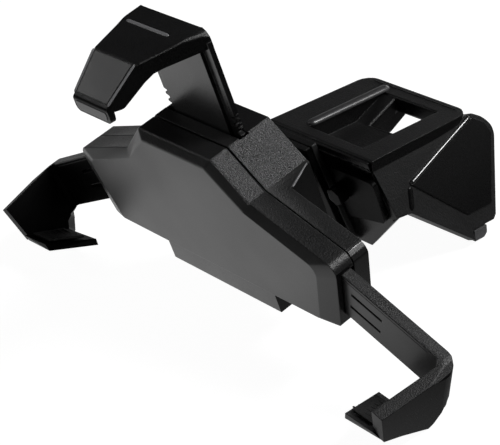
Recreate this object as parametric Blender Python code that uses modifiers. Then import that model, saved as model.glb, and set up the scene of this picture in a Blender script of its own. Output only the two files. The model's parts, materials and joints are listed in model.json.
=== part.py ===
"""Dashboard phone holder: a cradle with gravity-linked arms on a ball joint and a bracket.

Lengths are in millimetres until they reach a mesh. The cradle's front face is the plane
y = 0, x = 0 is its middle, z = 0 its underside, and the bracket stands behind it.
"""
import math

import bpy
import bmesh
from mathutils import Matrix, Vector

MM = 0.001

# Clearances and walls
GAP = 0.3
WALL = 1.8
REAR_WALL = 1.6

# Cradle outline from the front: half widths and heights of its corners
TOP_HALF, TOP_Z = 14.8, 38.9
KNEE_HALF, KNEE_Z = 25.0, 29.4
END_HALF, END_Z = 52.5, 20.0
FOOT_HALF, FOOT_Z = 46.3, 0.0
END_ROUND, FOOT_ROUND = 3.0, 1.0

# Bevels round the flat front face: how far in from the outline, and how deep
TOP_INSET, TOP_INSET_Z = 2.1, 2.3
KNEE_INSET, KNEE_INSET_Z = 1.8, 2.3
END_INSET, END_INSET_Z = 5.9, 1.2
FOOT_INSET, FOOT_INSET_Z = 5.6, 1.3
FACE_TOP_HALF, FACE_TOP_Z = TOP_HALF - TOP_INSET, TOP_Z - TOP_INSET_Z
FACE_KNEE_HALF, FACE_KNEE_Z = KNEE_HALF - KNEE_INSET, KNEE_Z - KNEE_INSET_Z
FACE_END_HALF, FACE_END_Z = END_HALF - END_INSET, END_Z - END_INSET_Z
FACE_FOOT_HALF, FACE_FOOT_Z = FOOT_HALF - FOOT_INSET, FOOT_Z + FOOT_INSET_Z
BEVEL_DEPTH = 1.5

# Depths of the cradle from its front face
SEAM_Y = 6.9
WING_BACK_Y = 11.9
BOX_BACK_Y = 20.5
BOX_HALF_WING, BOX_HALF_BACK = 28.6, 25.9

# Housing tab under the body
TAB_HALF, TAB_DROP = 22.1, 6.1
TAB_FRONT_Y, TAB_BACK_Y = 0.9, 16.0

# Hook arm: slider plates, then the hook in side view and from above
SLIDER_FRONT_Y, SLIDER_STEP_Y, SLIDER_BACK_Y = 11.0, 12.0, 13.4
SLIDER_HALF, SLIDER_FRONT_HALF = 14.3, 11.2
SLIDER_BOTTOM_Z = 10.0
HOOK_TOP_Z, HOOK_UNDER_Z = 68.7, 63.7
HOOK_EDGE_Y, HOOK_EDGE_HALF = -3.9, 9.0
HOOK_TIP_Y, HOOK_TIP_HALF, HOOK_TIP_Z = -14.9, 7.2, 62.0
HOOK_LIP_Z = 57.8
HOOK_LIP_THICK = 1.3

# Gear train: one pinion each side between the slider and an arm
TRAVEL = 14.0
TEETH, MODULE = 16, 0.7
BACKLASH = 0.16
PINION_Z = 23.0
PINION_FRONT_Y, PINION_BACK_Y = 3.4, 14.2
PIN_R = 1.5
BOSS_R = 3.0

# Side arms: they slide down and outwards at this angle below level
ARM_SLOPE = 25.5
ARM_FRONT_Y, ARM_BACK_Y = 3.2, 6.2
ARM_LOW_P, ARM_HIGH_P = 23.9, 37.5
ARM_OUTER_U, ARM_WALL_THICK, ARM_WALL_FRONT_THICK = 74.5, 3.7, 3.2
ARM_ROUND = 4.5
ARM_TOE_IN, ARM_FLARE = 0.141, 0.02
ARM_WALL_FRONT_Y, ARM_WALL_TOP_P, ARM_WALL_REAR_Y = -16.0, 34.9, 4.0
ARM_LOW_INSIDE = ((-14.8, 24.0), (-3.9, 18.7), (-3.1, 20.3), (-2.3, 21.8), (-0.6, 22.8), (2.6, 23.6))
ARM_LOW_OUTSIDE = ((-14.8, 24.0), (-1.4, 16.3), (0.2, 17.6), (1.8, 20.4), (2.6, 22.2), (3.6, 23.6))
TAIL_BOTTOM_P, TAIL_END_U, ARM_NECK_U = 20.2, -8.4, 23.0
BODY_EXIT_U, EXIT_RUN_IN, EXIT_RUN_OUT, SHOULDER_INSIDE = 43.0, 8.0, 20.0, 15.0
ARM_INNER_U = BODY_EXIT_U - SHOULDER_INSIDE
FINGER_SLOTS = (33.0, 28.2)
FINGER_SLOT_IN, FINGER_SLOT_OUT, FINGER_SLOT_WIDE = 42.6, 52.4, 0.9

# Return springs
SPRING_X, SPRING_Y, SPRING_R, SPRING_WIRE = 11.0, 16.3, 1.5, 0.25
SPRING_TOP_Z = 20.0
SPRING_TURNS = 6
LUG_THICK = 2.0

# Ball joint, its centre behind the cradle
BALL_Y, BALL_Z, BALL_R = 22.5, 10.0, 5.5
NECK_R = 2.6
STUD_BASE_R, STUD_BASE_THICK = 3.6, 0.7
LINER_THICK = 0.7
CUP_OUTER_R = 7.8
CUP_FLANGE_R, CUP_FLANGE_THICK = 9.6, 1.3
COLLAR_R, COLLAR_END_R, COLLAR_MOUTH_R, COLLAR_BACK_Y = 9.8, 7.2, 5.2, 28.2

# Case screws, x and z of each
CASE_SCREWS = ((33.0, 20.5), (30.0, 4.0))
SCREW_HEAD_R, SCREW_HEAD_THICK, SCREW_R = 2.3, 1.2, 1.0
SCREW_BOSS_R = 2.4

# Mount block on the front of the bracket
BLOCK_FRONT_Y, BLOCK_THICK, SEAT_THICK = 31.2, 1.7, 1.8
BLOCK_TOP_HALF, BLOCK_LOW_HALF = 8.0, 12.5
BLOCK_TOP_Z, BLOCK_LOW_Z = 18.7, -11.5

# Locking lever beside the block, turning on its hex nut
NUT_X, NUT_Z, NUT_ACROSS, NUT_THICK = 14.8, 6.7, 4.7, 2.9
LEVER_THICK = 1.3
LEVER_LEFT, LEVER_RIGHT = 12.8, 28.7
LEVER_TOP_Z, LEVER_LOW_LEFT_Z, LEVER_LOW_RIGHT_Z = 13.6, -1.9, 1.0

# Bracket, in its own frame: x across, y back, z up from the top of its front edge
BRACKET_X, BRACKET_Y, BRACKET_Z = 7.8, 35.3, 18.9
BRACKET_PITCH = 12.5
DECK_FRONT_HALF, DECK_BACK_HALF, DECK_LONG, DECK_THICK = 20.0, 19.2, 35.0, 2.8
RECESS_LEFT, RECESS_RIGHT, RECESS_FRONT, RECESS_BACK = -8.6, 12.6, 4.5, 30.3
RECESS_DEPTH, RECESS_LIP, TUB_WALL = 5.0, 0.6, 1.8
RECESS_FOOT, RAMP_FOOT = 8.0, 20.4
WINDOW_LEFT, WINDOW_RIGHT, WINDOW_FRONT, WINDOW_BACK_DROP = -3.6, 11.6, 21.2, 4.4
RIB_LINE = ((17.0, -4.0), (33.4, -4.0), (33.4, -6.9), (27.9, -9.8), (17.0, -9.8))
RIB_THICK, REAR_DROP = 1.8, 5.0
LEG_HALF, LEG_FLARE, LEG_THICK = 18.5, 20.0, 3.0
LEG_LINE = ((0.7, -0.8), (35.6, -0.8), (39.8, -3.6), (41.3, -7.4), (33.2, -27.5), (30.5, -29.9),
            (24.4, -31.2), (8.3, -17.2), (3.6, -16.9))
FRONT_THICK = 2.7
FRONT_LOW_HALF, FRONT_LOW_Z = 8.9, -12.1
FRONT_SIDE_HALF, FRONT_SIDE_Z = 22.3, 1.0
SOLE_Z = -30.2
PAD_THICK = 0.9
FOOT_FRONT, FOOT_BACK, FOOT_INNER, FOOT_OUTER, FOOT_HEIGHT = 24.8, 29.2, 24.2, 28.5, 3.1
TOE_HALF, TOE_FRONT, TOE_BACK, TOE_THICK = 5.0, 7.4, 14.0, 1.8

RIGHT, LEFT = 1, -1


def clear_scene():
    for ob in list(bpy.data.objects):
        bpy.data.objects.remove(ob, do_unlink=True)


clear_scene()
PARTS = bpy.data.collections.new("phone_holder")
CUTTERS = bpy.data.collections.new("cutters")
for collection in (PARTS, CUTTERS):
    bpy.context.scene.collection.children.link(collection)


def frame(name, parent, place, about=None, degrees=0.0):
    ob = bpy.data.objects.new(name, None)
    PARTS.objects.link(ob)
    ob.parent = parent
    ob.location = Vector(place) * MM
    if about:
        ob.rotation_euler["XYZ".index(about)] = math.radians(degrees)
    return ob


def bracket_point(x, y, z):
    """A point of the bracket's frame in the cradle's."""
    c, s = math.cos(math.radians(BRACKET_PITCH)), math.sin(math.radians(BRACKET_PITCH))
    return Vector((BRACKET_X + x, BRACKET_Y + y * c + z * s, BRACKET_Z - y * s + z * c))


FRONT_PAD_FRONT, FRONT_PAD_BACK = 9.9, TOE_BACK - 0.4
SEAT_POINT = bracket_point(0, (FRONT_PAD_FRONT + FRONT_PAD_BACK) / 2, SOLE_Z)
CRADLE = frame("holder_frame", None, -SEAT_POINT)
BRACKET = frame("bracket_frame", CRADLE, (BRACKET_X, BRACKET_Y, BRACKET_Z), "X", -BRACKET_PITCH)
ARM_FRAMES = {s: frame("%s_arm_frame" % n, CRADLE, (0, 0, 0), "Y", s * ARM_SLOPE)
              for s, n in ((RIGHT, "right"), (LEFT, "left"))}
LEG_FRAMES = {s: frame("%s_leg_frame" % n, BRACKET, (s * LEG_HALF, 0, 0), "Y", -s * LEG_FLARE)
              for s, n in ((RIGHT, "right"), (LEFT, "left"))}


def material(name, colour, roughness, metallic=0.0):
    mat = bpy.data.materials.new(name)
    mat.use_nodes = True
    bsdf = mat.node_tree.nodes["Principled BSDF"]
    bsdf.inputs["Base Color"].default_value = (*colour, 1.0)
    bsdf.inputs["Roughness"].default_value = roughness
    bsdf.inputs["Metallic"].default_value = metallic
    return mat


def grey(level):
    return (level, level, level * 1.04)


def finish(name, bm, parent, origin=(0, 0, 0), cutter=False):
    """Close a bmesh made in millimetres into an object with its origin at a given point."""
    bmesh.ops.remove_doubles(bm, verts=bm.verts, dist=0.002)
    bmesh.ops.recalc_face_normals(bm, faces=bm.faces)
    bm.transform(Matrix.Scale(MM, 4) @ Matrix.Translation(-Vector(origin)))
    mesh = bpy.data.meshes.new(name)
    bm.to_mesh(mesh)
    bm.free()
    ob = bpy.data.objects.new(name, mesh)
    (CUTTERS if cutter else PARTS).objects.link(ob)
    ob.parent = parent
    ob.location = Vector(origin) * MM
    if cutter:
        ob.hide_render = True
        ob.display_type = "WIRE"
    return ob


def evaluated(ob):
    """The bmesh of an object as its modifiers leave it, in millimetres; the object goes."""
    bpy.context.view_layer.update()
    shown = ob.evaluated_get(bpy.context.evaluated_depsgraph_get())
    mesh = bpy.data.meshes.new_from_object(shown)
    bm = bmesh.new()
    bm.from_mesh(mesh)
    bm.transform(Matrix.Scale(1 / MM, 4))
    bpy.data.objects.remove(ob, do_unlink=True)
    bpy.data.meshes.remove(mesh)
    return bm


# Outline's plane for each direction of extrusion
PLANES = {
    "X": Matrix(((0, 0, 1, 0), (1, 0, 0, 0), (0, 1, 0, 0), (0, 0, 0, 1))),
    "Y": Matrix(((1, 0, 0, 0), (0, 0, -1, 0), (0, 1, 0, 0), (0, 0, 0, 1))),
    "Z": Matrix.Identity(4),
}


def plate(name, outlines, low, high, axis, parent, origin=(0, 0, 0), cutter=False):
    """A flat outline, with any holes as further outlines, extruded along one axis."""
    curve = bpy.data.curves.new(name, "CURVE")
    curve.dimensions, curve.fill_mode = "2D", "BOTH"
    curve.extrude = (high - low) / 2 * MM
    for outline in outlines:
        spline = curve.splines.new("POLY")
        spline.points.add(len(outline) - 1)
        for point, (a, b) in zip(spline.points, outline):
            point.co = (a * MM, b * MM, 0, 1)
        spline.use_cyclic_u = True
    ob = bpy.data.objects.new(name, curve)
    PARTS.objects.link(ob)
    bm = evaluated(ob)
    middle = Vector([(low + high) / 2 if axis == a else 0 for a in "XYZ"])
    bm.transform(Matrix.Translation(middle) @ PLANES[axis])
    return finish(name, bm, parent, origin, cutter)


def turned(name, profile, centre, parent, steps=32, cutter=False, closed=False):
    """A profile of (radius, distance along Y from the centre) turned about the Y axis."""
    mesh = bpy.data.meshes.new(name)
    points = [(r * MM, 0, t * MM) for r, t in profile]
    edges = [(i, i + 1) for i in range(len(points) - 1)]
    if closed:
        edges.append((len(points) - 1, 0))
    edges = [(a, b) for a, b in edges if profile[a][0] or profile[b][0]]
    mesh.from_pydata(points, edges, [])
    ob = bpy.data.objects.new(name, mesh)
    PARTS.objects.link(ob)
    screw = ob.modifiers.new("turn", "SCREW")
    screw.steps = screw.render_steps = steps
    screw.use_merge_vertices = True
    screw.merge_threshold = 0.00001
    bm = evaluated(ob)
    bm.transform(Matrix.Translation(Vector(centre)) @ Matrix.Rotation(math.radians(-90), 4, "X"))
    ob = finish(name, bm, parent, centre, cutter)
    ob.data.shade_smooth()
    ob.data.set_sharp_from_angle(angle=math.radians(35))
    return ob


def block(name, low, high, parent, cutter=False):
    bm = bmesh.new()
    bmesh.ops.create_cube(bm, size=1.0)
    low, high = Vector(low), Vector(high)
    for vert in bm.verts:
        vert.co = Vector([(low[i] + high[i]) / 2 + vert.co[i] * (high[i] - low[i]) for i in range(3)])
    return finish(name, bm, parent, cutter=cutter)


def wedge(name, corner, parent, cutter=False):
    """A box whose eight corners come from a function of (sign x, sign y, sign z)."""
    bm = bmesh.new()
    bmesh.ops.create_cube(bm, size=2.0)
    for vert in bm.verts:
        vert.co = Vector(corner(*[int(round(c)) for c in vert.co]))
    bmesh.ops.triangulate(bm, faces=bm.faces)
    return finish(name, bm, parent, cutter=cutter)


def loft(name, rings, parent, cutter=False):
    """A closed skin through rings of as many corners each."""
    bm = bmesh.new()
    loops = [[bm.verts.new(point) for point in ring] for ring in rings]
    bm.faces.new(loops[0])
    bm.faces.new(loops[-1])
    count = len(rings[0])
    for first, second in zip(loops, loops[1:]):
        for i in range(count):
            bm.faces.new((first[i], first[(i + 1) % count], second[(i + 1) % count], second[i]))
    bmesh.ops.triangulate(bm, faces=bm.faces)
    return finish(name, bm, parent, cutter=cutter)


def combine(ob, tools, operation="DIFFERENCE"):
    for tool in tools:
        boolean = ob.modifiers.new(tool.name, "BOOLEAN")
        boolean.operation = operation
        boolean.solver = "EXACT"
        boolean.object = tool


def rounded(corners, steps=4):
    """An outline from (a, b, radius) corners, with arcs where the radius is not zero."""
    points = []
    count = len(corners)
    for i, (a, b, radius) in enumerate(corners):
        here = Vector((a, b))
        before = (Vector(corners[i - 1][:2]) - here).normalized()
        after = (Vector(corners[(i + 1) % count][:2]) - here).normalized()
        if radius == 0:
            points.append((a, b))
            continue
        half = before.angle(after) / 2
        centre = here + (before + after).normalized() * (radius / math.sin(half))
        start = here + before * (radius / math.tan(half)) - centre
        end = here + after * (radius / math.tan(half)) - centre
        for k in range(steps + 1):
            arc = start.lerp(end, k / steps).normalized() * radius
            points.append(tuple(centre + arc))
    return points


def circle(x, z, radius, count=16, phase=0.0):
    return [(x + radius * math.cos(phase + 2 * math.pi * k / count),
             z + radius * math.sin(phase + 2 * math.pi * k / count)) for k in range(count)]


def mirrored(corners):
    """A closed outline from its right half, given from top to bottom."""
    return list(corners) + [(-c[0],) + tuple(c[1:]) for c in reversed(corners)]


BLACK = material("black_plastic", grey(0.035), 0.42)
DARK = material("dark_plastic", grey(0.028), 0.5)
RUBBER = material("rubber", grey(0.02), 0.8)
STEEL = material("zinc_steel", (0.55, 0.55, 0.56), 0.35, 1.0)
SPRING_STEEL = material("spring_steel", (0.5, 0.5, 0.5), 0.3, 1.0)
ACETAL = material("white_acetal", (0.75, 0.75, 0.72), 0.45)
CLEAR_RUBBER = material("pale_rubber", (0.4, 0.4, 0.41), 0.6)


def paint(ob, mat):
    ob.data.materials.clear()
    ob.data.materials.append(mat)
    return ob


# Cradle shells
OUTER_CORNERS = mirrored([(TOP_HALF, TOP_Z, 0), (KNEE_HALF, KNEE_Z, 0),
                          (END_HALF, END_Z, END_ROUND), (FOOT_HALF, FOOT_Z, FOOT_ROUND)])
OUTER = rounded(OUTER_CORNERS)
FACE = rounded(mirrored([(FACE_TOP_HALF, FACE_TOP_Z, 0), (FACE_KNEE_HALF, FACE_KNEE_Z, 0),
                         (FACE_END_HALF, FACE_END_Z, END_ROUND),
                         (FACE_FOOT_HALF, FACE_FOOT_Z, FOOT_ROUND)]))


def inset(corners, distance):
    """Rounded corners moved inwards by a distance, with what is left of their radius."""
    outline = [c[:2] for c in corners]
    count = len(outline)
    result = []
    for i in range(count):
        a, b, c = (Vector(outline[(i + k) % count]) for k in (-1, 0, 1))
        first, second = (b - a).normalized(), (c - b).normalized()
        n1, n2 = Vector((first.y, -first.x)), Vector((second.y, -second.x))
        bisector = (n1 + n2).normalized()
        moved = b + bisector * (distance / bisector.dot(n1))
        result.append((moved.x, moved.y, max(0, corners[(i) % count][2] - distance)))
    return rounded(result)


SCREW_PLACES = [(s * x, z) for s in (RIGHT, LEFT) for x, z in CASE_SCREWS]
PINION_X = SLIDER_HALF - 0.05 - 0.8 * MODULE + TEETH * MODULE / 2
SLOPE = math.radians(ARM_SLOPE)


def along(x, z):
    """Distances along and across the right arm's slide for a point of the cradle."""
    return x * math.cos(SLOPE) - z * math.sin(SLOPE), x * math.sin(SLOPE) + z * math.cos(SLOPE)


def exit_cutter(side):
    """The notch in the front shell's end that an arm slides through."""
    low, high = sorted((side * (BODY_EXIT_U - EXIT_RUN_IN), side * (BODY_EXIT_U + EXIT_RUN_OUT)))
    return block("arm_exit_%d" % side, (low, ARM_FRONT_Y - GAP, ARM_LOW_P - GAP),
                 (high, SEAM_Y + 1, ARM_HIGH_P + GAP), ARM_FRAMES[side], cutter=True)


def front_shell():
    bm = bmesh.new()
    rings = []
    for outline, y in ((FACE, 0.0), (OUTER, BEVEL_DEPTH), (OUTER, SEAM_Y)):
        rings.append([bm.verts.new((x, y, z)) for x, z in outline])
    bm.faces.new(rings[0])
    count = len(OUTER)
    for lower, upper in zip(rings, rings[1:]):
        for i in range(count):
            bm.faces.new((lower[i], lower[(i + 1) % count], upper[(i + 1) % count], upper[i]))
    ob = finish("front_shell", bm, CRADLE)
    solid = ob.modifiers.new("wall", "SOLIDIFY")
    solid.thickness, solid.offset, solid.use_even_offset = WALL * MM, -1.0, True
    tab = block("front_tab", (-TAB_HALF, TAB_FRONT_Y, -TAB_DROP), (TAB_HALF, SEAM_Y, 1.0),
                CRADLE, cutter=True)
    tab_hollow = block("front_tab_hollow", (-TAB_HALF + WALL, TAB_FRONT_Y + WALL, WALL - TAB_DROP),
                       (TAB_HALF - WALL, SEAM_Y + 1, 4.0), CRADLE, cutter=True)
    joined, cut = [tab], [tab_hollow]
    for k, (x, z) in enumerate(SCREW_PLACES):
        joined.append(plate("front_boss_%d" % k, [circle(x, z, SCREW_BOSS_R, 12)],
                            WALL - 0.5, SEAM_Y, "Y", CRADLE, cutter=True))
        cut.append(plate("front_hole_%d" % k, [circle(x, z, SCREW_R + GAP, 12)],
                         WALL + 0.6, SEAM_Y + 1, "Y", CRADLE, cutter=True))
    for side in (RIGHT, LEFT):
        x = side * PINION_X
        joined.append(plate("front_bearing_%d" % side, [circle(x, PINION_Z, BOSS_R, 16)],
                            WALL - 0.5, ARM_FRONT_Y - 0.1, "Y", CRADLE, cutter=True))
        cut.append(plate("front_pin_hole_%d" % side, [circle(x, PINION_Z, PIN_R + GAP, 16)],
                         WALL, SEAM_Y + 1, "Y", CRADLE, cutter=True))
        cut.append(exit_cutter(side))
    combine(ob, joined, "UNION")
    combine(ob, cut)
    return paint(ob, BLACK)


def wing_cutter(side):
    """The space behind one wing, beside the sloping side of the centre box."""
    slope = (BOX_HALF_WING - BOX_HALF_BACK) / (BOX_BACK_Y - WING_BACK_Y)

    def corner(sx, sy, sz):
        y = WING_BACK_Y if sy < 0 else BOX_BACK_Y + 2
        inner = BOX_HALF_WING - slope * (y - WING_BACK_Y)
        return side * (inner if sx < 0 else END_HALF + 8), y, -12 if sz < 0 else TOP_Z + 5
    return wedge("wing_space_%d" % side, corner, CRADLE, cutter=True)


def rear_shell():
    front = SEAM_Y + GAP
    ob = plate("rear_shell", [OUTER], front, BOX_BACK_Y, "Y", CRADLE)
    tab = block("rear_tab", (-TAB_HALF, front, -TAB_DROP), (TAB_HALF, TAB_BACK_Y, 1.0),
                CRADLE, cutter=True)
    slope = (BOX_HALF_WING - BOX_HALF_BACK) / (BOX_BACK_Y - WING_BACK_Y)
    inner = inset(OUTER_CORNERS, REAR_WALL)
    wing_hollow = plate("wing_hollow", [inner], front - 1, WING_BACK_Y - REAR_WALL, "Y",
                        CRADLE, cutter=True)

    def hollow_corner(sx, sy, sz):
        y = front - 2 if sy < 0 else BOX_BACK_Y - REAR_WALL
        half = BOX_HALF_WING - slope * (y - WING_BACK_Y) - REAR_WALL * 1.05
        return sx * half, y, -9.0 if sz < 0 else TOP_Z + 9
    box_space = wedge("box_space", hollow_corner, CRADLE, cutter=True)
    box_inner = plate("box_hollow", [inset(OUTER_CORNERS, REAR_WALL + 0.1)],
                      WING_BACK_Y - REAR_WALL - 1, BOX_BACK_Y - REAR_WALL, "Y", CRADLE, cutter=True)
    combine(box_inner, [box_space], "INTERSECT")
    tab_hollow = block("rear_tab_hollow", (-TAB_HALF + WALL, front - 1, SLIDER_BOTTOM_Z - TRAVEL - 2 * GAP),
                       (TAB_HALF - WALL, TAB_BACK_Y - REAR_WALL, 4.0), CRADLE, cutter=True)
    slot = block("slider_slot", (-SLIDER_HALF - 0.8, SLIDER_FRONT_Y - GAP, TOP_Z - 8),
                 (SLIDER_HALF + 0.8, SLIDER_BACK_Y + GAP, TOP_Z + 2), CRADLE, cutter=True)
    cup_hole = plate("cup_hole", [circle(0, BALL_Z, CUP_OUTER_R + GAP, 32)],
                     BOX_BACK_Y - 2 * REAR_WALL, BOX_BACK_Y + 2, "Y", CRADLE, cutter=True)
    joined, holes = [], [slot, cup_hole]
    for k, (x, z) in enumerate(SCREW_PLACES):
        joined.append(plate("rear_boss_%d" % k, [circle(x, z, SCREW_HEAD_R + 1.0, 16)],
                            front, WING_BACK_Y - 0.4, "Y", CRADLE, cutter=True))
        holes.append(plate("rear_screw_hole_%d" % k, [circle(x, z, SCREW_R + GAP, 12)],
                           front - 1, BOX_BACK_Y, "Y", CRADLE, cutter=True))
        holes.append(plate("rear_head_hole_%d" % k, [circle(x, z, SCREW_HEAD_R + GAP, 16)],
                           WING_BACK_Y - SCREW_HEAD_THICK - GAP, BOX_BACK_Y, "Y", CRADLE, cutter=True))
    for side in (RIGHT, LEFT):
        x = side * PINION_X
        joined.append(plate("rear_bearing_%d" % side, [circle(x, PINION_Z, BOSS_R, 16)],
                            PINION_BACK_Y + GAP, BOX_BACK_Y - 0.6, "Y", CRADLE, cutter=True))
        holes.append(plate("rear_pin_hole_%d" % side, [circle(x, PINION_Z, PIN_R + GAP, 16)],
                           front, BOX_BACK_Y - REAR_WALL, "Y", CRADLE, cutter=True))
    combine(ob, [tab], "UNION")
    combine(ob, [wing_cutter(RIGHT), wing_cutter(LEFT), wing_hollow, box_inner, tab_hollow])
    combine(ob, joined, "UNION")
    combine(ob, holes)
    return paint(ob, BLACK)


def screw(name, place, length, parent):
    """A pan-head screw whose head faces +Y; place is the underside of its head."""
    profile = [(0, SCREW_HEAD_THICK), (SCREW_HEAD_R * 0.75, SCREW_HEAD_THICK),
               (SCREW_HEAD_R, SCREW_HEAD_THICK * 0.4), (SCREW_HEAD_R, 0), (SCREW_R, 0),
               (SCREW_R, -length), (0, -length - 0.8)]
    return paint(turned(name, profile, place, parent, 16), STEEL)


# Gear teeth
PITCH = math.pi * MODULE
PITCH_R = TEETH * MODULE / 2
ADDENDUM, DEDENDUM = 0.8 * MODULE, 1.15 * MODULE
PRESSURE = math.radians(20)


def involute(angle):
    return math.tan(angle) - angle


def gear_outline(x, z, phase):
    """Involute teeth about a centre, one tooth centred on the phase angle."""
    base = PITCH_R * math.cos(PRESSURE)
    half = math.pi / (2 * TEETH) - BACKLASH / (2 * PITCH_R) + involute(PRESSURE)
    flank = []
    for radius in (PITCH_R - DEDENDUM, base, PITCH_R, PITCH_R + ADDENDUM):
        swing = involute(math.acos(min(1.0, base / radius)))
        flank.append((radius, half - swing))
    points = []
    for k in range(TEETH):
        middle = phase + 2 * math.pi * k / TEETH
        tooth = [(r, middle - a) for r, a in flank] + [(r, middle + a) for r, a in reversed(flank)]
        points += [(x + r * math.cos(a), z + r * math.sin(a)) for r, a in tooth]
    return points


def rack_teeth(first, last, centre):
    """(position, height) points of a rack's teeth between two ends, one tooth at the centre."""
    width = PITCH / 2 - BACKLASH
    root, tip = -DEDENDUM, ADDENDUM
    shift = math.tan(PRESSURE)
    low = math.ceil((first - centre) / PITCH + 0.5)
    high = math.floor((last - centre) / PITCH - 0.5)
    points = []
    for k in range(low, high + 1):
        middle = centre + k * PITCH
        for s, h in ((-1, root), (-1, tip), (1, tip), (1, root)):
            points.append((middle + s * (width / 2 - h * shift), h))
    return points


def pinion(side, name):
    phase = math.pi / TEETH
    outline = [(side * a, b) for a, b in gear_outline(PINION_X, PINION_Z, phase)]
    hole = circle(side * PINION_X, PINION_Z, PIN_R + GAP, 16)
    ob = plate(name, [outline, hole], PINION_FRONT_Y, PINION_BACK_Y, "Y", CRADLE,
               (side * PINION_X, (PINION_FRONT_Y + PINION_BACK_Y) / 2, PINION_Z))
    return paint(ob, ACETAL)


def pinion_pin(side, name):
    front, back = WALL + GAP, BOX_BACK_Y - REAR_WALL - GAP
    ob = plate(name, [circle(side * PINION_X, PINION_Z, PIN_R, 16)], front, back, "Y", CRADLE,
               (side * PINION_X, (front + back) / 2, PINION_Z))
    return paint(ob, STEEL)


def hook_profile():
    """The hook in side view: y and z, from the top of its back edge round to the slider."""
    back = SLIDER_BACK_Y
    return [(back, HOOK_TOP_Z), (HOOK_EDGE_Y, HOOK_TOP_Z), (HOOK_TIP_Y, HOOK_TIP_Z),
            (HOOK_TIP_Y, HOOK_LIP_Z), (HOOK_TIP_Y + HOOK_LIP_THICK, HOOK_LIP_Z),
            (HOOK_TIP_Y + 1.6, 60.6), (-10.9, 60.0), (-4.1, 63.2), (-1.4, 64.3), (1.1, 64.4),
            (SLIDER_FRONT_Y, HOOK_UNDER_Z), (back, HOOK_UNDER_Z)]


def hook_arm():
    half = SLIDER_HALF
    head = plate("hook_arm", [hook_profile()], -half, half, "X", CRADLE)
    above = mirrored([(half, SLIDER_BACK_Y + 1), (half, SLIDER_BACK_Y), (HOOK_EDGE_HALF, HOOK_EDGE_Y),
                      (HOOK_TIP_HALF, HOOK_TIP_Y - 0.01)])
    shape = plate("hook_from_above", [above], HOOK_LIP_Z - 2, HOOK_TOP_Z + 2, "Z", CRADLE, cutter=True)
    combine(head, [shape], "INTERSECT")
    outside = rounded([(half + 1, HOOK_TOP_Z - 8, 0), (half, HOOK_TOP_Z - 8, 0), (half, HOOK_TOP_Z, 3.0),
                       (0, HOOK_TOP_Z, 0), (0, HOOK_TOP_Z + 2, 0), (half + 1, HOOK_TOP_Z + 2, 0)])
    combine(head, [plate("hook_corners_%d" % side, [[(side * x, z) for x, z in outside]],
                         HOOK_TIP_Y - 5, SLIDER_BACK_Y + 5, "Y", CRADLE, cutter=True)
                   for side in (RIGHT, LEFT)])
    front = plate("slider_front", [[(-SLIDER_FRONT_HALF, SLIDER_BOTTOM_Z),
                                    (SLIDER_FRONT_HALF, SLIDER_BOTTOM_Z),
                                    (SLIDER_FRONT_HALF, HOOK_UNDER_Z + 1.5),
                                    (-SLIDER_FRONT_HALF, HOOK_UNDER_Z + 1.5)]],
                  SLIDER_FRONT_Y + 0.02, SLIDER_STEP_Y + 0.3, "Y", CRADLE, cutter=True)
    pitch_x = PINION_X - PITCH_R
    teeth = rack_teeth(PINION_Z - 4.5, PINION_Z + TRAVEL + 9.0, PINION_Z)
    root_x = pitch_x - DEDENDUM
    edge = [(root_x, SLIDER_BOTTOM_Z)] + [(pitch_x + h, z) for z, h in teeth]
    edge += [(root_x, teeth[-1][0] + 0.3), (half - 0.02, teeth[-1][0] + 0.8),
             (half - 0.02, HOOK_UNDER_Z + 1.6)]
    outline = edge + [(-x, z) for x, z in reversed(edge)]
    rear = plate("slider_rear", [outline], SLIDER_STEP_Y, SLIDER_BACK_Y - 0.02, "Y", CRADLE, cutter=True)
    lugs = [block("slider_lug_%d" % side, (side * SPRING_X - 1.8, SLIDER_BACK_Y - 0.4, SPRING_TOP_Z),
                  (side * SPRING_X + 1.8, SPRING_Y + 1.7, SPRING_TOP_Z + LUG_THICK), CRADLE, cutter=True)
            for side in (RIGHT, LEFT)]
    combine(head, [front, rear] + lugs, "UNION")
    return paint(head, BLACK)


def hook_pad():
    """A rubber strip under the hook, just clear of its underside."""
    under = [(-10.4, 60.0), (-4.1, 62.9), (-2.2, 63.7)]
    outline = under + [(y + 0.35, z - 1.0) for y, z in reversed(under)]
    return paint(plate("hook_pad", [outline], -5.5, 5.5, "X", CRADLE), RUBBER)


def arm_outline():
    """The arm's back plate and toothed tail, along and across its slide."""
    centre_u, centre_p = along(PINION_X, PINION_Z)
    pitch_p = centre_p - PITCH_R
    direction = math.radians(270 - ARM_SLOPE)
    step = 2 * math.pi / TEETH
    nearest = round(direction / step) * step
    teeth = rack_teeth(TAIL_END_U, centre_u + 4.6, centre_u + (nearest - direction) * PITCH_R)
    root_p = pitch_p - DEDENDUM
    upper = [(TAIL_END_U, root_p)] + [(u, pitch_p + h) for u, h in teeth]
    upper += [(teeth[-1][0] + 0.4, root_p), (ARM_INNER_U - 0.5, ARM_LOW_P + 3),
              (ARM_INNER_U, ARM_HIGH_P - 0.2)]
    low = min(p for _, p in ARM_LOW_OUTSIDE) - 2
    outer = rounded([(ARM_INNER_U, ARM_HIGH_P, 0), (ARM_OUTER_U, ARM_HIGH_P, ARM_ROUND),
                     (ARM_OUTER_U + 2.5, low, 0)])[1:]
    lower = [(ARM_NECK_U, low), (ARM_NECK_U, ARM_LOW_P), (teeth[-1][0] - 1.0, TAIL_BOTTOM_P),
             (TAIL_END_U, TAIL_BOTTOM_P)]
    return upper + outer + lower


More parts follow.
